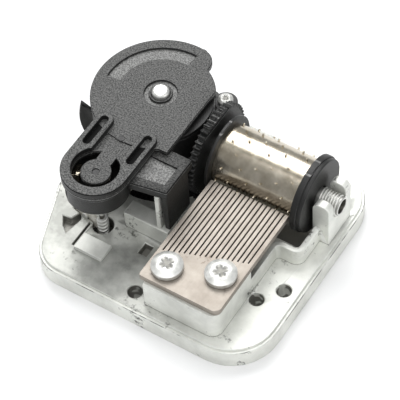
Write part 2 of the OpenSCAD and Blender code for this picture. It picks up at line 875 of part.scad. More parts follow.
// Arbor with the key socket in its foot and a domed tip above the cover
module winding_arbor() {
    core_top = drum_top - lid_t - turn_gap;
    tip_z = cover_z + arbor_tip;
    dome = 0.4;
    color("whitesmoke")
        on_barrel(0)
        difference() {
            rotate_extrude()
                polygon([[0, 0.1], [core_r, 0.1], [core_r, core_top], [arbor_r, core_top], [arbor_r, tip_z - dome],
                    [arbor_r - dome, tip_z], [0, tip_z]]);
            cylinder(r = socket_r, h = socket_l + 0.1);
        }
}

// Crown gear on its plate; a gap faces the cylinder gear
module barrel_gear() {
    tooth_l = crown_face;
    height = tooth_up + tooth_down;
    color("#2b2b2d")
        on_barrel(crown_root_z) {
            translate([0, 0, -crown_t])
                difference() {
                    cylinder(r = crown_outer_r, h = crown_t);
                    translate([0, 0, -eps])
                        cylinder(r = core_r + run_clear, h = crown_t + 2 * eps);
                }
            for (i = [0:crown_n - 1])
                rotate([0, 0, (i + 0.5) * 360 / crown_n])
                translate([crown_r - crown_face / 2, 0, 0])
                rotate([90, 0, 90])
                linear_extrude(tooth_l - eps)
                polygon([
                    [-gear_pitch * 0.25, -eps], [gear_pitch * 0.25, -eps],
                    [gear_pitch * 0.11, height], [-gear_pitch * 0.11, height]]);
        }
}

module barrel_drum() {
    color("#2b2b2d")
        on_barrel(crown_root_z)
        difference() {
            cylinder(r = drum_r, h = drum_top - lid_t - crown_root_z);
            translate([0, 0, -eps])
                cylinder(r = drum_r - drum_wall, h = through);
        }
}

module barrel_lid() {
    color("#2b2b2d")
        on_barrel(drum_top - lid_t)
        difference() {
            cylinder(r = drum_r, h = lid_t);
            translate([0, 0, -eps])
                cylinder(r = arbor_r + run_clear, h = through);
        }
}

// Strip wound from the arbor out to the drum's wall
module mainspring() {
    inner = core_r + 0.35;
    outer = drum_r - drum_wall - spring_t - 0.05;
    steps = 24;
    total = spring_turns * steps;
    coil = [for (i = [0:total]) [360 * i / steps, inner + (outer - inner) * i / total]];
    color("slategray")
        on_barrel(crown_root_z + 0.6)
        linear_extrude(spring_h)
        polygon(concat([for (p = coil) ray(p[0], p[1])],
            [for (i = [0:total]) ray(coil[total - i][0], coil[total - i][1] + spring_t)]));
}

module cylinder_arbor() {
    color("silver")
        on_axle(arbor_start)
        cylinder(r = stub_r, h = flange_x - arbor_start);
}

module cylinder_gear() {
    color("#2b2b2d")
        on_axle(gear_x - gear_face / 2)
        linear_extrude(gear_face)
        difference() {
            polygon(gear_outline(cylinder_n, cylinder_gear_r, tooth_up, tooth_down, 0.22, 0.5));
            circle(stub_r);
        }
}

// Stepped hub that carries the left end of the sleeve
module cylinder_hub() {
    color("#2b2b2d")
        on_axle(hub_x)
        difference() {
            union() {
                cylinder(r = flange_r, h = hub_t);
                cylinder(r = sleeve_r - sleeve_wall, h = hub_t + boss_l);
            }
            translate([0, 0, -eps])
                cylinder(r = stub_r, h = through);
        }
}

module cylinder_sleeve() {
    color("tan")
        on_axle(sleeve_x)
        difference() {
            cylinder(r = sleeve_r, h = sleeve_l);
            translate([0, 0, -eps])
                cylinder(r = sleeve_r - sleeve_wall, h = through);
        }
}

// Pins spread round each tooth's track by the golden angle
module cylinder_pins() {
    golden = 137.508;
    color("goldenrod")
        for (i = [0:tooth_count - 1], k = [0:pins_per_track - 1])
            on_axle(comb_x + (i + 0.5) * tooth_pitch)
            rotate([0, 0, golden * (i * pins_per_track + k)])
            translate([sleeve_r - sleeve_wall * 0.8, 0, 0])
            rotate([0, 90, 0])
            cylinder(r = pin_r, h = pin_h + sleeve_wall * 0.8, $fn = 16);
}

module end_flange() {
    color("#2b2b2d")
        on_axle(flange_x)
        difference() {
            union() {
                cylinder(r = flange_r, h = flange_t * 0.6);
                cylinder(r = flange_r - 0.3, h = flange_t);
                translate([0, 0, -boss_l])
                    cylinder(r = sleeve_r - sleeve_wall, h = boss_l + eps);
            }
            translate([0, 0, -boss_l - eps])
                cylinder(r = stub_r, h = through);
        }
}

// Hollow stub that takes a screwed-on turntable or figure
module output_stub() {
    color("whitesmoke")
        on_axle(flange_x)
        difference() {
            cylinder(r = stub_r, h = stub_end - flange_x);
            translate([0, 0, flange_t])
                cylinder(r = stub_bore_r, h = through);
        }
}

module idler_arbor() {
    color("silver")
        on_idler(idler_start)
        cylinder(r = idler_r, h = idler_end - idler_start);
}

module idler_pinion() {
    color("#d8c48a")
        on_idler(idler_start + 0.1)
        linear_extrude(crown_face - 0.2)
        difference() {
            polygon(gear_outline(pinion_n, pinion_r, tooth_up, tooth_down, 0.2, 0.46));
            circle(idler_r);
        }
}

module worm_wheel() {
    color("#d8c48a")
        on_idler(wheel_along - wheel_t / 2)
        linear_extrude(wheel_t)
        difference() {
            rotate(90)
                polygon(gear_outline(wheel_n, wheel_r, worm_up, worm_down, 0.2, 0.42));
            circle(idler_r);
        }
}

module governor_shaft() {
    color("silver")
        on_governor(pivot_bottom)
        cylinder(r = shaft_r, h = pivot_top - pivot_bottom);
}

// Depth of the worm's thread at a share of its pitch: crest, flanks and root
function thread_share(t) = let (u = abs(t - floor(t) - 0.5)) min(1, max(0, (u - 0.28) / 0.12));

// Right-handed single-start worm, as one closed skin of rings
module worm() {
    sides = 16;
    rings = ceil(worm_l / worm_pitch * 10);
    root_r = worm_r - worm_down;
    height = worm_up + worm_down;
    skin = [for (j = [0:rings], i = [0:sides - 1])
        let (z = worm_l * j / rings, a = 360 * i / sides)
        let (share = thread_share((z - worm_l / 2) / worm_pitch - a / 360 + worm_phase))
        [each ray(a, root_r + height * share), z]];
    walls = [for (j = [0:rings - 1], i = [0:sides - 1])
        let (a = j * sides + i, b = j * sides + (i + 1) % sides)
        each [[a, b + sides, b], [a, a + sides, b + sides]]];
    foot = [for (i = [0:sides - 1]) i];
    head = [for (i = [0:sides - 1]) (rings + 1) * sides - 1 - i];
    color("silver")
        on_governor(worm_z)
        difference() {
            polyhedron(skin, concat(walls, [foot, head]), convexity = 10);
            translate([0, 0, -eps])
                cylinder(r = shaft_r, h = through);
        }
}

// Hub of the centrifugal brake with its two springy arms
module governor_rotor() {
    color("#3a3a3c")
        on_governor(rotor_under)
        difference() {
            union() {
                cylinder(r = 1.5, h = rotor_top - rotor_under);
                translate([0.03 - weight_in, -0.35, 0])
                    cube([2 * weight_in - 0.06, 0.7, 1.6]);
            }
            translate([0, 0, -eps])
                cylinder(r = shaft_r, h = through);
        }
}

// Weights that swing out and rub on the brake drum
module brake_weights() {
    outer = brake_r - brake_wall - turn_gap;
    spread = 180 / PI * flyweight_l / outer;
    color("#b89b5a")
        for (s = [0, 180])
            on_governor(rotor_under)
            rotate([0, 0, s])
            linear_extrude(flyweight_h)
            ring_slice(weight_in, outer, -spread / 2, spread / 2);
}

base_plate();
tone_comb();
comb_screws();
comb_weights();
spring_cover();
cover_screw();
governor_drum();
clutch_spring();
winding_arbor();
barrel_gear();
barrel_drum();
barrel_lid();
mainspring();
cylinder_arbor();
cylinder_gear();
cylinder_hub();
cylinder_sleeve();
cylinder_pins();
end_flange();
output_stub();
idler_arbor();
idler_pinion();
worm_wheel();
governor_shaft();
worm();
governor_rotor();
brake_weights();
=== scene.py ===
# %% [markdown]
# # A wind-up music box movement
#
# The imported part is already true in shape and size. This lesson dresses it: each visible solid gets
# rounded edges and a finish of its own, and what repeats or winds (pins, screws, threads) is grown with
# Geometry Nodes. The frame is loaded first.

# %% Load the frame
import json
from math import atan2, cos, pi, radians, sin

import bmesh
import bpy
from mathutils import Matrix, Vector
from mathutils.bvhtree import BVHTree
from mathutils.geometry import intersect_point_line


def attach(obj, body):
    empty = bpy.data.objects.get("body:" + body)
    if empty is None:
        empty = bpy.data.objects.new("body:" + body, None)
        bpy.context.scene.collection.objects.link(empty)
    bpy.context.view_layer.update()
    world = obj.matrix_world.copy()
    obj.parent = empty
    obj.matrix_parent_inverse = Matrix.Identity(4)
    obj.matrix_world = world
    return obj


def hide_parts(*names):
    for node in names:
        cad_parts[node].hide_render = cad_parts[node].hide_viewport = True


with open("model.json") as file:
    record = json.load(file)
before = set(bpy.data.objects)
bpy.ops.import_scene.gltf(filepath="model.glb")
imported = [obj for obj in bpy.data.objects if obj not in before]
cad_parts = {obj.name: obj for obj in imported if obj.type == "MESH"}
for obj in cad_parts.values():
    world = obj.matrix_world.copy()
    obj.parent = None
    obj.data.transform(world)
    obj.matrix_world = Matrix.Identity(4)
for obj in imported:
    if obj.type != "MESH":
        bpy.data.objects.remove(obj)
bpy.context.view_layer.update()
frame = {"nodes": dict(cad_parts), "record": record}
MM = 0.001
joints = {j["name"]: j for j in frame["record"]["behaviour"]["joints"]}
mounts = {m["name"]: m for m in frame["record"]["mounts"]}
body_of = {n: b for b, nodes in frame["record"]["behaviour"]["bodies"].items() for n in nodes}
slot_of = {s["node"]: s["material_slot"] for s in frame["record"]["subparts"]}
barrel_axis = Vector(joints["barrel_spin"]["pos_m"])
cylinder_axis = Vector(joints["cylinder_spin"]["pos_m"])
governor_axis = Vector(joints["governor_spin"]["pos_m"])
print("nodes:", len(frame["nodes"]), "cylinder axis at", tuple(round(v / MM, 2) for v in cylinder_axis))

# %% [markdown]
# ## Shared surface effects
#
# Cast metal, moulded plastic and drawn metal all need small irregularities. Each effect is one shader
# node group, so several finishes can use it with their own values. A group only puts out masks between
# 0 and 1; the shader itself stays in the material.

# %% Group builder
def effect_group(name, inputs):
    """An empty shader group with a Vector input, the named numbers and one Mask output."""
    tree = bpy.data.node_groups.new(name, "ShaderNodeTree")
    tree.interface.new_socket("Vector", in_out="INPUT", socket_type="NodeSocketVector")
    for label, value in inputs.items():
        socket = tree.interface.new_socket(label, in_out="INPUT", socket_type="NodeSocketFloat")
        socket.default_value = value
    tree.interface.new_socket("Mask", in_out="OUTPUT", socket_type="NodeSocketFloat")
    return tree, tree.nodes.new("NodeGroupInput"), tree.nodes.new("NodeGroupOutput")


def add(tree, kind, links=(), **values):
    """Adds a node, sets its properties and sockets, and links (socket name or number, source) pairs."""
    node = tree.nodes.new(kind)
    for label, value in values.items():
        setattr(node, label, value)
    for socket, source in links:
        if hasattr(source, "is_output"):
            tree.links.new(source, node.inputs[socket])
        else:
            node.inputs[socket].default_value = source
    return node


def calc(tree, operation, *terms):
    """One sum on numbers or sockets."""
    return add(tree, "ShaderNodeMath", list(enumerate(terms)), operation=operation).outputs[0]


# %% Grain: an even, fine roughness
grain, g_in, g_out = effect_group("grain", {"Scale": 2000.0, "Detail": 3.0})
noise = add(grain, "ShaderNodeTexNoise", [
    ("Vector", g_in.outputs["Vector"]), ("Scale", g_in.outputs["Scale"]),
    ("Detail", g_in.outputs["Detail"]), ("Roughness", 0.6)])
grain.links.new(noise.outputs["Fac"], g_out.inputs["Mask"])
print("group", grain.name, "with", len(grain.nodes), "nodes")

# %% Specks: sparse dark pits
specks, s_in, s_out = effect_group("specks", {"Scale": 900.0, "Amount": 0.3})
patch_scale, pit_edge = 170.0, 0.09
pits = add(specks, "ShaderNodeTexNoise", [
    ("Vector", s_in.outputs["Vector"]), ("Scale", s_in.outputs["Scale"]),
    ("Detail", 4.0), ("Roughness", 0.7)])
patches = add(specks, "ShaderNodeTexNoise", [
    ("Vector", s_in.outputs["Vector"]), ("Scale", patch_scale), ("Detail", 2.0)])
together = calc(specks, "MULTIPLY", pits.outputs["Fac"], patches.outputs["Fac"])
floor_level = calc(specks, "SUBTRACT", 0.5, s_in.outputs["Amount"])
ceiling_level = calc(specks, "ADD", floor_level, pit_edge)
cut = add(specks, "ShaderNodeMapRange", [
    ("Value", together), ("From Min", floor_level), ("From Max", ceiling_level)])
specks.links.new(cut.outputs["Result"], s_out.inputs["Mask"])
print("group", specks.name, "with", len(specks.nodes), "nodes")

# %% Drawn lines: fine scratches along one direction
drawn, d_in, d_out = effect_group("drawn_lines", {"Along X": 60.0, "Along Y": 60.0, "Along Z": 60.0})
stretch = add(drawn, "ShaderNodeCombineXYZ", [
    ("X", d_in.outputs["Along X"]), ("Y", d_in.outputs["Along Y"]), ("Z", d_in.outputs["Along Z"])])
stretched = add(drawn, "ShaderNodeVectorMath", [
    (0, d_in.outputs["Vector"]), (1, stretch.outputs[0])], operation="MULTIPLY")
streaks = add(drawn, "ShaderNodeTexNoise", [
    ("Vector", stretched.outputs[0]), ("Scale", 1.0), ("Detail", 4.0), ("Roughness", 0.65)])
drawn.links.new(streaks.outputs["Fac"], d_out.inputs["Mask"])
print("group", drawn.name, "with", len(drawn.nodes), "nodes")

# %% [markdown]
# ## Finishes
#
# Every finish reads Object coordinates. All pieces sit unturned at the origin, so the pattern is fixed
# to the part and has its real scale. Numbers that are the same all over go straight on the shader.

# %% Material builder
def linear_level(level):
    """One level as the eye names it (0 to 255) as the linear value that the shader wants."""
    if level > 10:
        return ((level / 255 + 0.055) / 1.055) ** 2.4
    return level / 255 / 12.92


def linear(red, green, blue):
    """An opaque colour in linear values."""
    return (linear_level(red), linear_level(green), linear_level(blue), 1)


def finish(name, metallic=0.0, specular=0.5):
    """A new material with its tree, its shader and its Object coordinates."""
    material = bpy.data.materials.new(name)
    material.use_nodes = True
    tree = material.node_tree
    shader = tree.nodes["Principled BSDF"]
    shader.inputs["Metallic"].default_value = metallic
    shader.inputs["Specular IOR Level"].default_value = specular
    place = tree.nodes.new("ShaderNodeTexCoord").outputs["Object"]
    return material, tree, shader, place


def effect(tree, group, place, **values):
    """Places an effect group in a material and gives back its mask."""
    node = add(tree, "ShaderNodeGroup", node_tree=group)
    tree.links.new(place, node.inputs["Vector"])
    for label, value in values.items():
        node.inputs[label.replace("_", " ")].default_value = value
    return node.outputs["Mask"]


def tint(tree, mask, dark, light, low=0.3, high=0.7):
    """Spreads a mask between two colours."""
    ramp = add(tree, "ShaderNodeValToRGB", [("Fac", mask)])
    ramp.color_ramp.elements[0].position, ramp.color_ramp.elements[1].position = low, high
    ramp.color_ramp.elements[0].color, ramp.color_ramp.elements[1].color = dark, light
    return ramp.outputs["Color"]


def spread(tree, mask, low, high):
    """Spreads a mask between two numbers."""
    return add(tree, "ShaderNodeMapRange", [
        ("Value", mask), ("To Min", low), ("To Max", high)]).outputs["Result"]


def ramp_up(tree, value, low, high):
    """0 at the low value, 1 at the high one, and straight between."""
    return add(tree, "ShaderNodeMapRange", [
        ("Value", value), ("From Min", low), ("From Max", high)]).outputs["Result"]


# Places of a Mix node's sockets when it mixes colours
MIX_FACTOR, MIX_UNDER, MIX_OVER, MIX_RESULT = 0, 6, 7, 2


def blend(tree, mask, under, over):
    """Lays one colour over another where the mask is 1."""
    mix = add(tree, "ShaderNodeMix", [
        (MIX_FACTOR, mask), (MIX_UNDER, under), (MIX_OVER, over)], data_type="RGBA")
    return mix.outputs[MIX_RESULT]


def emboss(tree, shader, height, strength, depth):
    """Raises the surface by a height mask."""
    bump = add(tree, "ShaderNodeBump", [("Height", height), ("Strength", strength), ("Distance", depth)])
    tree.links.new(bump.outputs["Normal"], shader.inputs["Normal"])


# %% [markdown]
# ### Cast zinc
#
# The base is a die casting: bright, slightly cloudy grey, with a skin of small dark flow marks, and a
# broken dark line where the two halves of the die met. Three marks of painted shade depend on the place.
# The deck round the governor is painted darker, painted shade and reflection of the dark cover above it,
# and the darkening fades to the right. A thin band of painted shade runs where the walls meet the deck.
# Hollows below the deck are painted dark as painted shade. All three are masks made from the height. The
# first also goes by how far to the right a spot is, and the last by how far it is from the middle. The
# walls of the mounting holes are drilled and bright: the painted shade stays on them only in random
# patches.

# %% Places of the marks on the casting
deck_z, flat_reach = 4.3 * MM, 0.06 * MM
die_line_z, die_line_half = deck_z - 0.6 * MM, 0.07 * MM
# Painted shade on the deck round the governor is full left of the second distance and gone right of the
# first
shade_end, shade_full = 14 * MM, 2 * MM
# Heights of the painted shade at the foot of the walls and in the hollows below the deck
corner_z, hollow_z = deck_z + 0.12 * MM, deck_z - 0.3 * MM
inner_x, inner_y, inner_sum = 23.6 * MM, 21.1 * MM, 32.5 * MM
drilled_reach = 1.3

# %% Cast zinc finish
cast_zinc, tree, shader, place = finish("cast_zinc", metallic=0.5)
across, along, height = add(tree, "ShaderNodeSeparateXYZ", [("Vector", place)]).outputs
cloud = effect(tree, grain, place, Scale=150.0, Detail=5.0)
skin = effect(tree, grain, place, Scale=1300.0, Detail=4.0)
flow = effect(tree, specks, place, Scale=900.0, Amount=0.16)
off_line = calc(tree, "DIVIDE", calc(tree, "SUBTRACT", height, die_line_z), die_line_half)
line = ramp_up(tree, calc(tree, "ABSOLUTE", off_line), 1.0, 0.4)
breaks = ramp_up(tree, effect(tree, grain, place, Scale=260.0, Detail=2.0), 0.50, 0.56)
parting = calc(tree, "MULTIPLY", line, breaks)
# Painted shade on the deck round the governor, full at the left and fading out to the right
on_deck = calc(tree, "COMPARE", height, deck_z, flat_reach)
shaded_deck = calc(tree, "MULTIPLY", on_deck, ramp_up(tree, across, shade_end, shade_full))
# Painted shade in a thin band where the walls meet the deck
corner_shade = calc(tree, "COMPARE", height, corner_z, flat_reach)
sideways, endways = calc(tree, "ABSOLUTE", across), calc(tree, "ABSOLUTE", along)
# Painted shade in the hollows below the deck, inside the base's inner outline
hollow_shade = calc(tree, "LESS_THAN", height, hollow_z)
for distance, limit in ((sideways, inner_x), (endways, inner_y),
                        (calc(tree, "ADD", sideways, endways), inner_sum)):
    hollow_shade = calc(tree, "MULTIPLY", hollow_shade, calc(tree, "LESS_THAN", distance, limit))
level_place = add(tree, "ShaderNodeCombineXYZ", [("X", across), ("Y", along)]).outputs[0]
# Random patches where the painted shade stays on the walls of the mounting holes
shade_patches = ramp_up(tree, effect(tree, grain, place, Scale=520.0, Detail=1.0), 0.46, 0.52)
for mount in ("front_hole", "side_hole", "edge_hole"):
    hole = mounts[mount]
    from_axis = add(tree, "ShaderNodeVectorMath", [
        (0, level_place), (1, (*hole["pos_m"][:2], 0))], operation="DISTANCE").outputs["Value"]
    outside = calc(tree, "GREATER_THAN", from_axis, drilled_reach * hole["dims"]["r_mm"] * MM)
    hollow_shade = calc(tree, "MULTIPLY", hollow_shade, calc(tree, "MAXIMUM", outside, shade_patches))

# %% Zinc colours from the masks
clean = tint(tree, cloud, linear(204, 205, 199), linear(232, 233, 227), 0.34, 0.62)
# A darker copy of the zinc colour: painted shade and reflection for the deck round the governor
shaded_zinc = tint(tree, cloud, linear(150, 151, 146), linear(200, 201, 195), 0.36, 0.60)
zinc_and_shade = blend(tree, shaded_deck, clean, shaded_zinc)
# Flow marks and the die line are the casting's own; the corner band and the hollows get painted shade
for mask, colour in ((flow, linear(112, 112, 108)), (corner_shade, linear(128, 127, 122)),
                     (parting, linear(60, 59, 57)), (hollow_shade, linear(134, 133, 127))):
    zinc_and_shade = blend(tree, mask, zinc_and_shade, colour)
tree.links.new(zinc_and_shade, shader.inputs["Base Color"])
tree.links.new(spread(tree, cloud, 0.38, 0.60), shader.inputs["Roughness"])
swell = effect(tree, grain, place, Scale=330.0, Detail=2.0)
relief = calc(tree, "MULTIPLY_ADD", swell, 5.0, skin)
emboss(tree, shader, relief, strength=0.5, depth=0.025 * MM)
print("finish", cast_zinc.name, "with", len(tree.nodes), "nodes")

# %% [markdown]
# ### Black moulded plastic
#
# The cover's mould was spark-eroded on its flat floors, which leaves a pebbled grain of about a quarter
# of a millimetre, and polished on its walls. So the finish knows the heights of the cover's flat levels:
# on them the plastic is grained, and painted lighter as painted sheen, most of all in the two pockets and
# least on the top of the tab. Just under a top face runs a dull band painted near-black as painted shade, a
# dark outline that sets the levels off from each other. Everywhere else the plastic is smooth and nearly
# black.

# %% Levels of the cover in millimetres
tab_floor, tab_top, cover_floor, tongue_top, cover_top, arm_top = 18.5, 19.0, 19.5, 19.75, 20.0, 21.0
level_reach, band_drop, band_reach = 0.045, 0.17, 0.125
grain_low, grain_high = 0.36, 0.64

# %% Black plastic finish
black_plastic, tree, shader, place = finish("black_plastic", specular=0.45)
height = add(tree, "ShaderNodeSeparateXYZ", [("Vector", place)]).outputs["Z"]
pebbles = effect(tree, grain, place, Scale=3800.0, Detail=1.0)


def at_levels(levels, reach):
    """1 where the height is within reach of a level, all in millimetres."""
    near = 0.0
    for level in levels:
        near = calc(tree, "MAXIMUM", near, calc(tree, "COMPARE", height, level * MM, reach * MM))
    return near


# Flat levels: grained, and painted lighter there as painted sheen
grain_and_sheen = at_levels((tab_floor, tab_top, cover_floor, tongue_top, cover_top, arm_top), level_reach)
sunk = at_levels((tab_floor, cover_floor), level_reach)
# A band just under each top face gets painted shade, a near-black outline
bands = at_levels([top - band_drop for top in (tab_top, cover_top, arm_top)], band_reach)
shade_outline = calc(tree, "SUBTRACT", bands, grain_and_sheen)
# Painted sheen: flat tops lighter than the sides, pockets lighter still, the top of the tab less
flats = tint(tree, pebbles, linear(42, 42, 42), linear(104, 104, 102), grain_low, grain_high)
pockets = tint(tree, pebbles, linear(88, 88, 87), linear(148, 148, 146), grain_low, grain_high)
rims = tint(tree, pebbles, linear(28, 28, 28), linear(78, 78, 76), grain_low, grain_high)
painted_sheen_tops = blend(tree, at_levels((tab_top,), level_reach), blend(tree, sunk, flats, pockets), rims)
# Sides in the plastic's own near-black, darker still in the band of painted shade
sides_with_shade = blend(tree, shade_outline, linear(26, 26, 25), linear(4, 4, 4))
tree.links.new(blend(tree, grain_and_sheen, sides_with_shade, painted_sheen_tops), shader.inputs["Base Color"])
sheen = calc(tree, "MAXIMUM", spread(tree, pebbles, 0.58, 0.34), calc(tree, "MULTIPLY", shade_outline, 0.95))
tree.links.new(sheen, shader.inputs["Roughness"])
even = calc(tree, "SUBTRACT", pebbles, 0.5)
ripple = calc(tree, "MULTIPLY", even, calc(tree, "MULTIPLY_ADD", grain_and_sheen, 0.85, 0.15))
emboss(tree, shader, ripple, strength=1.0, depth=0.18 * MM)
print("finish", black_plastic.name, "with", len(tree.nodes), "nodes")

# %% [markdown]
# ### Ground comb steel
#
# The comb is hardened and ground flat. Grinding leaves fine lines along the teeth, and tempering leaves
# a warm tint.

# %% Comb steel finish
comb_steel, tree, shader, place = finish("comb_steel", metallic=0.75)
ground = effect(tree, drawn, place, Along_X=9000.0, Along_Y=260.0, Along_Z=3000.0)
bloom = effect(tree, grain, place, Scale=260.0, Detail=4.0)
warm = tint(tree, bloom, linear(144, 136, 127), linear(168, 161, 152))
rusty = blend(tree, effect(tree, specks, place, Scale=1500.0, Amount=0.13), warm, linear(118, 106, 96))
tree.links.new(rusty, shader.inputs["Base Color"])
tree.links.new(spread(tree, ground, 0.40, 0.62), shader.inputs["Roughness"])
emboss(tree, shader, ground, strength=0.12, depth=0.03 * MM)
print("finish", comb_steel.name, "with", len(tree.nodes), "nodes")

# %% [markdown]
# ### Nickel on brass
#
# The cylinder is a turned brass sleeve with a thin nickel plating. The brass shows through as a
# champagne tint, and turning leaves faint rings round the sleeve.

# %% Nickel finish
nickel_brass, tree, shader, place = finish("nickel_brass", metallic=1.0)
rings = effect(tree, drawn, place, Along_X=5200.0, Along_Y=120.0, Along_Z=120.0)
stain = effect(tree, grain, place, Scale=330.0, Detail=5.0)
tree.links.new(tint(tree, stain, linear(170, 160, 141), linear(214, 206, 190)), shader.inputs["Base Color"])
tree.links.new(spread(tree, stain, 0.14, 0.30), shader.inputs["Roughness"])
dents = effect(tree, grain, place, Scale=420.0, Detail=2.0)
turned = calc(tree, "MULTIPLY_ADD", dents, 2.0, rings)
emboss(tree, shader, turned, strength=0.25, depth=0.03 * MM)
print("finish", nickel_brass.name, "with", len(tree.nodes), "nodes")

# %% [markdown]
# ### Bright steel
#
# Screws, shafts and threads are plated bright. Shade is painted where they are sunk: in the cross of a
# screw, between the turns of a thread and in the stub's bore. Those pieces carry an attribute called
# recess, and the finish darkens by it as painted shade. A piece without the attribute reads 0 and stays
# plain.

# %% Bright steel finish
bright_steel, tree, shader, place = finish("bright_steel", metallic=0.85)
cloud = effect(tree, grain, place, Scale=700.0, Detail=4.0)
plated = tint(tree, cloud, linear(206, 206, 202), linear(240, 240, 236))
recess = add(tree, "ShaderNodeAttribute", attribute_name="recess").outputs["Fac"]
# Painted shade where the recess attribute is set
tree.links.new(blend(tree, recess, plated, linear(84, 82, 76)), shader.inputs["Base Color"])
tree.links.new(spread(tree, cloud, 0.32, 0.56), shader.inputs["Roughness"])
ripples = effect(tree, grain, place, Scale=900.0, Detail=2.0)
emboss(tree, shader, ripples, strength=0.3, depth=0.12 * MM)
print("finish", bright_steel.name, "with", len(tree.nodes), "nodes")

# %% [markdown]
# ### Spring steel, lead and pale plastic
#
# The hidden small parts share one pattern: a base colour that varies a little, a roughness that varies
# with it, and a fine skin. Only the values differ, so one function makes them all.

# %% Small-part finishes
def small_part_finish(name, metallic, dark, light, smooth, rough, scale):
    """A finish with one cloudy pattern for its colour and roughness, and a finer one for its skin."""
    material, tree, shader, place = finish(name, metallic)
    cloud = effect(tree, grain, place, Scale=scale, Detail=4.0)
    tree.links.new(tint(tree, cloud, dark, light), shader.inputs["Base Color"])
    tree.links.new(spread(tree, cloud, smooth, rough), shader.inputs["Roughness"])
    skin = effect(tree, grain, place, Scale=6 * scale, Detail=2.0)
    emboss(tree, shader, skin, strength=0.15, depth=0.03 * MM)
    print("finish", material.name, "with", len(tree.nodes), "nodes")
    return material


finishes = {
    "cast_zinc": cast_zinc, "black_plastic": black_plastic, "comb_steel": comb_steel,
    "nickel_brass": nickel_brass, "bright_steel": bright_steel,
    "spring_steel": small_part_finish(
        "spring_steel", metallic=1.0, dark=linear(96, 102, 112), light=linear(138, 142, 150),
        smooth=0.25, rough=0.4, scale=500.0),
    "lead_grey": small_part_finish(
        "lead_grey", metallic=0.7, dark=linear(92, 92, 96), light=linear(132, 132, 134),
        smooth=0.5, rough=0.7, scale=900.0),
    "pale_plastic": small_part_finish(
        "pale_plastic", metallic=0.0, dark=linear(222, 218, 206), light=linear(236, 233, 224),
        smooth=0.4, rough=0.55, scale=600.0)}
for name, node in frame["nodes"].items():
    node.data.materials.clear()
    node.data.materials.append(finishes[slot_of[name]])

# %% [markdown]
# ## Rounded copies of the solids
#
# A machined or moulded edge is never razor sharp, and the thin line of light on a rounded edge is what
# makes a part look real. The frame's meshes keep their shape. The corners of a copy are merged, and its
# flat faces are joined up into few convex ones. Wear and moulding round the outside edges and
# leave the inside corners sharp, so only an edge that turns outwards by more than 30 degrees gets a bevel
# weight. The other edges that turn as much stay marked as sharp.
#
# A rounding also needs room, so an edge that is too short, or that ends at a short crease, gets no weight.
# On a narrow ledge, two roundings would still run into each other and fold the face over. So the result
# is tested: a triangle that looks the other way than the solid next to it is a fold. The edges round a
# fold are left sharp, and the rounding is made again until no fold is left, ten times at most. A Weighted
# Normal modifier then keeps the large faces flat to the eye, right up to the rounding.

# %% Limits of the rounding
CORNER_MERGE, CAST_MERGE = 0.002 * MM, 0.012 * MM
FLAT_TURN, CREASE_TURN, ROUND_TURN = radians(0.6), radians(20), radians(30)
ALIGNED = 0.8
# Lengths as shares of the rounding's width
LEAST_EDGE, LEAST_CREASE, FOLD_REACH = 0.3, 2, 1.5
LEAST_AREA, FOLDED, MOST_TRIES = 1e-8 * MM * MM, -0.05, 10


# %% Piece and mesh helpers
def place_piece(piece, *nodes):
    """Lets a finished piece ride on the body of the nodes that it stands for."""
    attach(piece, body_of[nodes[0]])
    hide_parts(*nodes)


def merge_corners(work, merge):
    """Merges corners that lie together and takes out faces without area."""
    bmesh.ops.remove_doubles(work, verts=work.verts, dist=merge)
    bmesh.ops.dissolve_degenerate(work, edges=work.edges, dist=min(merge, CORNER_MERGE))


def has_room(edge, width):
    """Whether an edge, and each crease that crosses it at an end, is long enough for the rounding."""
    if edge.calc_length() < LEAST_EDGE * width:
        return False
    line = (edge.verts[1].co - edge.verts[0].co).normalized()
    for vertex in edge.verts:
        for other in vertex.link_edges:
            crease = abs(other.calc_face_angle_signed(0.0)) > CREASE_TURN
            aligned = abs((other.other_vert(vertex).co - vertex.co).normalized().dot(line)) > ALIGNED
            short = other.calc_length() < LEAST_CREASE * width
            if other is not edge and crease and not aligned and short:
                return False
    return True


# %% Fold test
def folds_in(plain, solid):
    """The corners of all triangles that look the other way than the solid's surface next to them."""
    plain.calc_loop_triangles()
    found = []
    for triangle in plain.loop_triangles:
        normal = solid.find_nearest(triangle.center)[1]
        if triangle.area > LEAST_AREA and normal.dot(triangle.normal) < FOLDED:
            found += [plain.vertices[k].co for k in triangle.vertices]
    return found


def is_near(edge, spots, reach):
    """Whether an edge passes one of the spots within reach."""
    start, stop = (v.co for v in edge.verts)
    for spot in spots:
        share = min(max(intersect_point_line(spot, start, stop)[1], 0), 1)
        if (start.lerp(stop, share) - spot).length < reach:
            return True
    return False


# %% Rounding
def marked_copy(node, width, merge):
    """A solid with its flat faces joined, and a bevel weight on each outside edge that has room."""
    work = bmesh.new()
    work.from_mesh(frame["nodes"][node].data)
    merge_corners(work, merge)
    bmesh.ops.dissolve_limit(work, angle_limit=FLAT_TURN, verts=work.verts, edges=work.edges)
    bmesh.ops.connect_verts_concave(work, faces=work.faces)
    weight = work.edges.layers.float.new("bevel_weight_edge")
    for edge in work.edges:
        turn = edge.calc_face_angle_signed(0.0)
        outside = turn > ROUND_TURN and has_room(edge, width)
        edge[weight], edge.smooth = float(outside), outside or abs(turn) < ROUND_TURN
    for face in work.faces:
        face.smooth = True
    return work, weight


def bevelled(piece, work):
    """The marked copy with the piece's bevel, as a plain mesh."""
    work.to_mesh(piece.data)
    plain = bpy.data.meshes.new_from_object(piece.evaluated_get(bpy.context.evaluated_depsgraph_get()))
    fine = bmesh.new()
    fine.from_mesh(plain)
    merge_corners(fine, CORNER_MERGE)
    fine.to_mesh(plain)
    fine.free()
    return plain


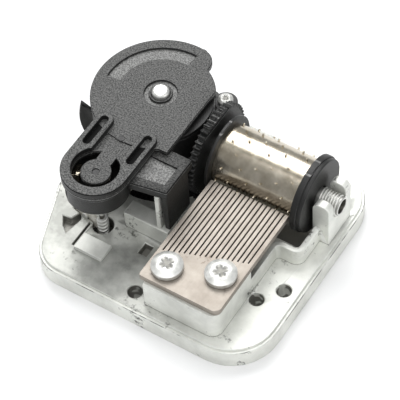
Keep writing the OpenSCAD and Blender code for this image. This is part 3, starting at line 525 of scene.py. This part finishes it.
def rounded(node, width, segments=2, merge=CORNER_MERGE):
    """A copy of a solid with its outside edges rounded by a width in metres."""
    work, weight = marked_copy(node, width, merge)
    piece = bpy.data.objects.new(node + "_rounded", bpy.data.meshes.new(node + "_rounded"))
    bpy.context.collection.objects.link(piece)
    bevel = piece.modifiers.new("round", "BEVEL")
    bevel.width, bevel.segments, bevel.limit_method = width, segments, "WEIGHT"
    bevel.miter_outer, bevel.use_clamp_overlap, bevel.loop_slide = "MITER_ARC", False, False
    solid = BVHTree.FromBMesh(work)
    plain, tries = bevelled(piece, work), 1
    while (folds := folds_in(plain, solid)) and tries < MOST_TRIES:
        for edge in [e for e in work.edges if e[weight] and is_near(e, folds, FOLD_REACH * width)]:
            edge[weight], edge.smooth = 0.0, False
        plain, tries = bevelled(piece, work), tries + 1
    work.free()
    plain.materials.append(finishes[slot_of[node]])
    piece.modifiers.clear()
    piece.data = plain
    even = piece.modifiers.new("even", "WEIGHTED_NORMAL")
    even.keep_sharp, even.weight = True, 100
    place_piece(piece, node)
    print(piece.name, len(plain.polygons), "faces, made in", tries, "tries, folds left:", len(folds) // 3)


# %% Round the visible solids
rounded("base_plate", 0.2 * MM, 3, merge=CAST_MERGE)
rounded("spring_cover", 0.18 * MM, 3, merge=CAST_MERGE)
rounded("governor_drum", 0.16 * MM)
rounded("tone_comb", 0.04 * MM, 1)
rounded("end_flange", 0.15 * MM)
rounded("cylinder_hub", 0.08 * MM)
rounded("cylinder_gear", 0.05 * MM, 1)
rounded("cylinder_sleeve", 0.05 * MM)
rounded("winding_arbor", 0.15 * MM)
rounded("barrel_drum", 0.15 * MM)
rounded("barrel_lid", 0.10 * MM)
rounded("barrel_gear", 0.04 * MM, 1)
rounded("worm_wheel", 0.04 * MM, 1)
rounded("idler_pinion", 0.04 * MM, 1)
for shaft in ("governor_shaft", "idler_arbor", "cylinder_arbor"):
    rounded(shaft, 0.12 * MM)
for small in ("comb_weights", "governor_rotor", "brake_weights", "clutch_spring"):
    rounded(small, 0.06 * MM, 1)

# %% [markdown]
# ## Grown pieces
#
# Pins, screws and threads repeat or wind along a path, so each is a Geometry Nodes tree with named
# inputs. A tree always ends the same way: instances become real geometry, and the material is set. The
# result is then kept as a plain mesh and the modifier goes.

# %% Geometry Nodes helpers
def grow_tree(name, inputs):
    """An empty geometry tree with named inputs, each given by its socket kind."""
    tree = bpy.data.node_groups.new(name, "GeometryNodeTree")
    tree.interface.new_socket("Geometry", in_out="INPUT", socket_type="NodeSocketGeometry")
    for label, kind in {**inputs, "Material": "Material"}.items():
        tree.interface.new_socket(label, in_out="INPUT", socket_type="NodeSocket" + kind)
    tree.interface.new_socket("Geometry", in_out="OUTPUT", socket_type="NodeSocketGeometry")
    return tree, tree.nodes.new("NodeGroupInput").outputs, tree.nodes.new("NodeGroupOutput")


def end_tree(tree, made, given, end):
    """Makes instances real, sets the material and hands over."""
    real = add(tree, "GeometryNodeRealizeInstances", [("Geometry", made)])
    dressed = add(tree, "GeometryNodeSetMaterial", [
        ("Geometry", real.outputs[0]), ("Material", given["Material"])])
    tree.links.new(dressed.outputs[0], end.inputs[0])
    print("tree", tree.name, "with", len(tree.nodes), "nodes")


def grown(node, mesh, tree, **values):
    """Runs a tree on a start mesh and keeps the result as a plain mesh in place of a CAD node."""
    piece = bpy.data.objects.new(node + "_grown", mesh)
    bpy.context.collection.objects.link(piece)
    modifier = piece.modifiers.new("grow", "NODES")
    modifier.node_group = tree
    sockets = {s.name: s.identifier for s in tree.interface.items_tree if s.in_out == "INPUT"}
    for label, value in {**values, "Material": finishes[slot_of[node]]}.items():
        modifier[sockets[label.replace("_", " ")]] = value
    plain = bpy.data.meshes.new_from_object(piece.evaluated_get(bpy.context.evaluated_depsgraph_get()))
    piece.modifiers.clear()
    piece.data = plain
    place_piece(piece, node)
    print(piece.name, len(plain.polygons), "faces")


LATHE_MERGE, LATHE_SHARP = 0.001 * MM, radians(35)


def lathe(name, profile, sides_with_shade=48):
    """A mesh turned round Z from (radius, height, recess) points; a radius of 0 closes an end."""
    work = bmesh.new()
    # Painted shade per point of the profile, kept in an attribute called recess
    painted_shade = work.verts.layers.float.new("recess")
    rows = []
    for r, z, *recess in profile:
        turns = [2 * pi * k / sides_with_shade for k in range(sides_with_shade if r else 1)]
        rows.append([work.verts.new((r * cos(turn), r * sin(turn), z)) for turn in turns])
        for vertex in rows[-1]:
            vertex[painted_shade] = recess[0] if recess else 0.0
    for low, high in zip(rows, rows[1:]):
        for k in range(sides_with_shade):
            ring = [low[k % len(low)], low[(k + 1) % len(low)],
                    high[(k + 1) % len(high)], high[k % len(high)]]
            work.faces.new(list(dict.fromkeys(ring)))
    bmesh.ops.remove_doubles(work, verts=work.verts, dist=LATHE_MERGE)
    bmesh.ops.recalc_face_normals(work, faces=work.faces)
    mesh = bpy.data.meshes.new(name)
    work.to_mesh(mesh)
    work.free()
    mesh.shade_smooth()
    mesh.set_sharp_from_angle(angle=LATHE_SHARP)
    return mesh


def box_of(node):
    """The low and high corners of a CAD node."""
    points = [v.co for v in frame["nodes"][node].data.vertices]
    return [Vector([pick(p[i] for p in points) for i in range(3)]) for pick in (min, max)]


# %% [markdown]
# ### Cylinder pins
#
# A real cylinder has a hole drilled for every note and a steel pin set in it. Here a point is made per
# pin: its track along the cylinder comes from its number, and each pin is turned on by the golden angle,
# which spreads the pins evenly. A short domed pin stands on each point and looks away from the axis.

# %% Pin tree
pin_tree, given, end = grow_tree("pins", {
    "Pins": "Int", "Pins per track": "Int", "First track": "Float", "Track pitch": "Float", "Turn": "Float",
    "Axis": "Vector", "Foot radius": "Float", "Pin": "Object"})
number = add(pin_tree, "GeometryNodeInputIndex").outputs[0]
track = calc(pin_tree, "FLOOR", calc(pin_tree, "DIVIDE", number, given["Pins per track"]))
middle_of_track = calc(pin_tree, "ADD", track, 0.5)
along = calc(pin_tree, "MULTIPLY_ADD", middle_of_track, given["Track pitch"], given["First track"])
angle = calc(pin_tree, "MULTIPLY", number, given["Turn"])
down = calc(pin_tree, "MULTIPLY", calc(pin_tree, "COSINE", angle), -1.0)
outward = add(pin_tree, "ShaderNodeCombineXYZ", [("Y", calc(pin_tree, "SINE", angle)), ("Z", down)])
foot = add(pin_tree, "ShaderNodeVectorMath", [
    (0, outward.outputs[0]), ("Scale", given["Foot radius"])], operation="SCALE")
beside = add(pin_tree, "ShaderNodeCombineXYZ", [("X", along)])
off_axis = add(pin_tree, "ShaderNodeVectorMath", [
    (0, foot.outputs[0]), (1, given["Axis"])], operation="ADD")
spot = add(pin_tree, "ShaderNodeVectorMath", [
    (0, off_axis.outputs[0]), (1, beside.outputs[0])], operation="ADD")
points = add(pin_tree, "GeometryNodePoints", [("Count", given["Pins"]), ("Position", spot.outputs[0])])
pin = add(pin_tree, "GeometryNodeObjectInfo", [("Object", given["Pin"]), ("As Instance", True)])
facing = add(pin_tree, "FunctionNodeAlignRotationToVector", [("Vector", outward.outputs[0])], axis="Z")
pins = add(pin_tree, "GeometryNodeInstanceOnPoints", [
    ("Points", points.outputs[0]), ("Instance", pin.outputs["Geometry"]), ("Rotation", facing.outputs[0])])
end_tree(pin_tree, pins.outputs[0], given, end)

# %% Pins on the cylinder
tooth_count, pins_per_track = 18, 4
comb_low, comb_high = box_of("tone_comb")
sleeve_low, sleeve_high = box_of("cylinder_sleeve")
sleeve_r = (sleeve_high.y - sleeve_low.y) / 2
pin_r, pin_dome, pin_sunk, pin_h = 0.2 * MM, 0.1 * MM, 0.4 * MM, 0.45 * MM
pin_sides, dome_steps, golden_angle = 12, 4, radians(137.508)
pin_root, pin_top = sleeve_r - pin_sunk, sleeve_r + pin_h - pin_dome
half_pin = (pin_top - pin_root) / 2
dome_turns = [k * pi / (2 * dome_steps) for k in range(dome_steps)]
pin_tip = [(pin_r * cos(turn), half_pin + pin_dome * sin(turn)) for turn in dome_turns]
pattern_pin = bpy.data.objects.new("pattern_pin", lathe("pattern_pin", [
    (0, -half_pin), (pin_r, -half_pin), *pin_tip, (0, half_pin + pin_dome)], pin_sides))
bpy.context.collection.objects.link(pattern_pin)
grown("cylinder_pins", bpy.data.meshes.new("pins"), pin_tree,
      Pins=tooth_count * pins_per_track, Pins_per_track=pins_per_track, First_track=comb_low.x,
      Track_pitch=(comb_high.x - comb_low.x) / tooth_count, Turn=golden_angle, Axis=cylinder_axis,
      Foot_radius=(pin_root + pin_top) / 2, Pin=pattern_pin)
bpy.data.objects.remove(pattern_pin)

# %% [markdown]
# ### Threads
#
# A thread is one ridge that climbs a core. The core is turned on a lathe function; the tree adds a
# spiral with a ridge profile swept along it, and lays both along their axis. Blender's spiral winds to
# the left, so it is reversed to give a right-handed thread. The output stub's thread is fine, so that a
# turntable can be screwed on. The worm is the same tree with a coarse pitch: one turn of it moves the
# wheel on by one tooth, so its ridge has to start at the angle where it meets a gap of the wheel.

# %% Thread tree
thread_tree, given, end = grow_tree("thread", {
    "Pitch": "Float", "Turns": "Float", "Radius": "Float", "Ridge height": "Float", "Ridge width": "Float",
    "Start": "Float", "Rotation": "Vector", "Place": "Vector"})
steps_per_turn, ridge_sides = 28, 8
climb = calc(thread_tree, "MULTIPLY", given["Pitch"], given["Turns"])
spiral = add(thread_tree, "GeometryNodeCurveSpiral", [
    ("Resolution", steps_per_turn), ("Rotations", given["Turns"]), ("Start Radius", given["Radius"]),
    ("End Radius", given["Radius"]), ("Height", climb), ("Reverse", True)])
raised = add(thread_tree, "GeometryNodeTransform", [
    ("Geometry", spiral.outputs[0]),
    ("Translation", add(thread_tree, "ShaderNodeCombineXYZ", [("Z", given["Start"])]).outputs[0])])
upright = add(thread_tree, "GeometryNodeSetCurveNormal", [("Curve", raised.outputs[0])], mode="Z_UP")
ring = add(thread_tree, "GeometryNodeCurvePrimitiveCircle", [("Resolution", ridge_sides), ("Radius", 0.5)])
flat = add(thread_tree, "ShaderNodeCombineXYZ", [
    ("X", given["Ridge height"]), ("Y", given["Ridge width"]), ("Z", 1.0)])
profile = add(thread_tree, "GeometryNodeTransform", [
    ("Geometry", ring.outputs[0]), ("Scale", flat.outputs[0])])
ridge = add(thread_tree, "GeometryNodeCurveToMesh", [
    ("Curve", upright.outputs[0]), ("Profile Curve", profile.outputs[0]), ("Fill Caps", True)])
whole = add(thread_tree, "GeometryNodeJoinGeometry", [(0, given["Geometry"])])
thread_tree.links.new(ridge.outputs[0], whole.inputs[0])
laid = add(thread_tree, "GeometryNodeTransform", [
    ("Geometry", whole.outputs[0]), ("Translation", given["Place"]), ("Rotation", given["Rotation"])])
end_tree(thread_tree, laid.outputs[0], given, end)

# %% Output stub
stub_low, stub_high = box_of("output_stub")
flange_end = box_of("end_flange")[1].x
stub_r, stub_l = (stub_high.y - stub_low.y) / 2, stub_high.x - stub_low.x
bore_r, edge = mounts["stub_bore"]["dims"]["r_mm"] * MM, 0.15 * MM
stub_pitch, stub_ridge, stub_ridge_w = 0.52 * MM, 0.52 * MM, 0.32 * MM
# Painted shade between the turns of the thread and in the bore
thread_shade, bore_shade = 0.6, 1
core_r, bore_floor = stub_r - stub_ridge / 2, flange_end - stub_low.x
stub_turns = (stub_l - bore_floor - 4 * edge) / stub_pitch
stub_core = lathe("stub", [
    (0, 0), (core_r, 0, thread_shade), (core_r, stub_l - edge, thread_shade), (core_r - edge, stub_l),
    (bore_r + edge / 2, stub_l), (bore_r, stub_l - edge, bore_shade), (bore_r, bore_floor, bore_shade),
    (0, bore_floor, bore_shade)])
grown("output_stub", stub_core, thread_tree,
      Pitch=stub_pitch, Turns=stub_turns, Radius=core_r, Ridge_height=stub_ridge,
      Ridge_width=stub_ridge_w, Start=bore_floor + 2 * edge, Rotation=(0, pi / 2, 0),
      Place=(stub_low.x, cylinder_axis.y, cylinder_axis.z))

# %% Worm
idler_axis = Vector(joints["idler_spin"]["axis"])
apart = idler_axis.cross(governor_axis - barrel_axis).z
worm_r, wheel_teeth, worm_up, worm_down = 0.85 * MM, 18, 0.26 * MM, 0.36 * MM
worm_low, worm_high = box_of("worm")
worm_l = worm_high.z - worm_low.z
worm_pitch = 2 * pi * (abs(apart) - worm_r) / wheel_teeth
worm_root, worm_crest = worm_r - worm_down, worm_r + worm_up
worm_ridge, worm_hole, worm_sides = 2 * (worm_up + worm_down), 0.4 * MM, 24
# Painted shade between the turns of the worm
ridge_share, worm_shade = 0.35, 1
lead = ridge_share * worm_pitch
idler_turn = atan2(idler_axis.y, idler_axis.x)
worm_turn = pi + idler_turn + 1.5 * pi - 2 * pi * (worm_l / 2 - lead) / worm_pitch
worm_core = lathe("worm", [
    (worm_hole, 0), (worm_root, 0, worm_shade), (worm_root, worm_l, worm_shade), (worm_hole, worm_l),
    (worm_hole, 0)], worm_sides)
grown("worm", worm_core, thread_tree,
      Pitch=worm_pitch, Turns=(worm_l - 2 * lead) / worm_pitch, Radius=worm_crest - worm_ridge / 2,
      Ridge_height=worm_ridge, Ridge_width=ridge_share * worm_pitch, Start=lead, Rotation=(0, 0, worm_turn),
      Place=(governor_axis.x, governor_axis.y, worm_low.z))

# %% [markdown]
# ### Screws
#
# The heads are cold-headed domes with a cross pressed in. A driver has rounded the cross, so its arms
# fade out softly: the height of the dome is lowered by a formula that is 1 inside the arms and falls to
# 0 at their edges. The same tree sets a screw on every point and turns each by a seeded random angle.

# %% Screw shape
# Places on the cross as shares of the head's radius
ARM_SIDE, ARM_FADE, ARM_END, ARM_TAPER = 0.30, 0.24, 0.66, 0.34
# Painted shade in the pressed cross
CROSS_SHADE = 0.85


def screw_mesh(name, head_r, head_h, shank_r, shank_l):
    """A domed, cross-headed screw round Z, with the underside of its head at height 0."""
    rings, sides_with_shade, crown, depth = 18, 64, 0.42 * head_h, 0.16 * head_h
    edge = 0.12 * head_h
    dome = [(head_r * k / rings, head_h - crown * (k / rings) ** 2) for k in range(rings + 1)]
    rim = [(head_r, edge), (head_r - edge, 0), (shank_r, 0),
           (shank_r, edge - shank_l), (shank_r - edge, -shank_l)]
    mesh = lathe(name, dome + rim + [(0, -shank_l)], sides_with_shade)
    # Painted shade in the arms of the cross
    painted_shade = mesh.attributes["recess"].data
    for vertex in mesh.vertices[:1 + rings * sides_with_shade]:
        x, y = abs(vertex.co.x) / head_r, abs(vertex.co.y) / head_r
        across, reach = min(x, y), max(x, y)
        inside = min(max((ARM_SIDE - across) / ARM_FADE, 0), 1)
        arm = inside * min(max((ARM_END - reach) / ARM_TAPER, 0), 1)
        painted_shade[vertex.index].value = CROSS_SHADE * arm
        vertex.co.z -= depth * arm * arm * (3 - 2 * arm)
    return mesh


# %% Screw tree
screw_tree, given, end = grow_tree("screws", {"Screw": "Object", "Seed": "Int"})
source = add(screw_tree, "GeometryNodeObjectInfo", [("Object", given["Screw"]), ("As Instance", True)])
twist = add(screw_tree, "FunctionNodeRandomValue", [
    (0, (0, 0, 0)), (1, (0, 0, 2 * pi)), ("Seed", given["Seed"])], data_type="FLOAT_VECTOR")
set_screws = add(screw_tree, "GeometryNodeInstanceOnPoints", [
    ("Points", given["Geometry"]), ("Instance", source.outputs["Geometry"]),
    ("Rotation", twist.outputs[0])])
end_tree(screw_tree, set_screws.outputs[0], given, end)


def set_in(node, places, seed, *sizes):
    """Sets one screw of the given sizes at each place, and removes the pattern screw."""
    pattern = bpy.data.objects.new("pattern_screw", screw_mesh("pattern_screw", *sizes))
    bpy.context.collection.objects.link(pattern)
    points = bpy.data.meshes.new(node + "_places")
    points.from_pydata(places, [], [])
    grown(node, points, screw_tree, Screw=pattern, Seed=seed)
    bpy.data.objects.remove(pattern)


# %% Comb screws and cover screw
heads_low, heads_high = box_of("comb_screws")
head_r, head_h, shank_r = 2.8 * MM, 1.7 * MM, 1.3 * MM
comb_seed, ear_seed = 4, 2
comb_top = comb_high.z
set_in("comb_screws", [(heads_low.x + head_r, heads_low.y + head_r, comb_top),
                       (heads_high.x - head_r, heads_high.y - head_r, comb_top)],
       comb_seed, head_r, head_h, shank_r, comb_top - heads_low.z)
ear_low, ear_high = box_of("cover_screw")
ear_head_r, ear_head_h, ear_shank_r = (ear_high.x - ear_low.x) / 2, 1.1 * MM, 0.9 * MM
ear_x, ear_y = (ear_low.x + ear_high.x) / 2, (ear_low.y + ear_high.y) / 2
set_in("cover_screw", [(ear_x, ear_y, ear_high.z - ear_head_h)],
       ear_seed, ear_head_r, ear_head_h, ear_shank_r, ear_high.z - ear_head_h - ear_low.z)

# %% [markdown]
# ## Floor, light and camera
#
# A plain white floor and soft lights make the even light of a product picture. The main softbox stands
# behind the part, where its mirror image lies in the flat tops: that is what lifts black plastic to grey
# and leaves its sides dark. The camera stands where the photograph was taken from: azimuth, elevation,
# roll and distance come from fitting the base's outline, the cylinder and the cover to the picture.

# %% Floor
half = 1.5
floor_corners = [(-half, -half, 0), (half, -half, 0), (half, half, 0), (-half, half, 0)]
floor_mesh = bpy.data.meshes.new("floor")
floor_mesh.from_pydata(floor_corners, [], [(0, 1, 2, 3)])
floor = bpy.data.objects.new("floor", floor_mesh)
bpy.context.collection.objects.link(floor)
paper, tree, shader, place = finish("paper_white", specular=0.1)
tone = effect(tree, grain, place, Scale=6.0, Detail=2.0)
tree.links.new(tint(tree, tone, linear(246, 246, 246), linear(250, 250, 250)), shader.inputs["Base Color"])
shader.inputs["Roughness"].default_value = 0.9
floor_mesh.materials.append(paper)

# %% Lights
part_middle = Vector((0, 0, 8 * MM))


def softbox(name, place, size, power):
    """A square area light that looks at the middle of the part."""
    light = bpy.data.lights.new(name, "AREA")
    light.size, light.energy = size, power
    lamp = bpy.data.objects.new(name, light)
    lamp.location = place
    lamp.rotation_euler = (part_middle - Vector(place)).to_track_quat("-Z", "Y").to_euler()
    bpy.context.collection.objects.link(lamp)


softbox("behind", (-0.21, 0.29, 0.48), size=0.4, power=2.8)
softbox("above_camera", (0.10, -0.25, 0.65), size=0.5, power=1.8)
softbox("left", (-0.50, -0.20, 0.30), size=0.3, power=0.3)
softbox("right", (0.50, -0.02, 0.25), size=0.3, power=0.6)
world = bpy.data.worlds.new("studio")
world.use_nodes = True
world.node_tree.nodes["Background"].inputs["Color"].default_value = linear(238, 240, 242)
world.node_tree.nodes["Background"].inputs["Strength"].default_value = 0.45
bpy.context.scene.world = world
bpy.context.scene.view_settings.view_transform = "Standard"

# %% Camera
# The focal length and the two offsets are in pixels of the photograph
azimuth, elevation, roll = radians(35.445), radians(53.103), radians(-4.153)
distance, frame_width, focal = 351.58 * MM, 400, 2016.18
off_right, off_up = 6.383, 1.774
back = Vector((sin(azimuth) * cos(elevation), -cos(azimuth) * cos(elevation), sin(elevation)))
level_right = Vector((cos(azimuth), sin(azimuth), 0))
level_up = back.cross(level_right)
right = cos(roll) * level_right + sin(roll) * level_up
up = cos(roll) * level_up - sin(roll) * level_right
aim = part_middle + (off_right * right + off_up * up) * distance / focal
lens = bpy.data.cameras.new("photo_camera")
lens.sensor_width = 36
lens.lens = focal * lens.sensor_width / frame_width
lens.clip_start = 0.01
camera = bpy.data.objects.new("photo_camera", lens)
turned_to_photo = Matrix((right, up, back)).transposed().to_4x4()
camera.matrix_world = Matrix.Translation(aim + back * distance) @ turned_to_photo
bpy.context.collection.objects.link(camera)
bpy.context.scene.camera = camera
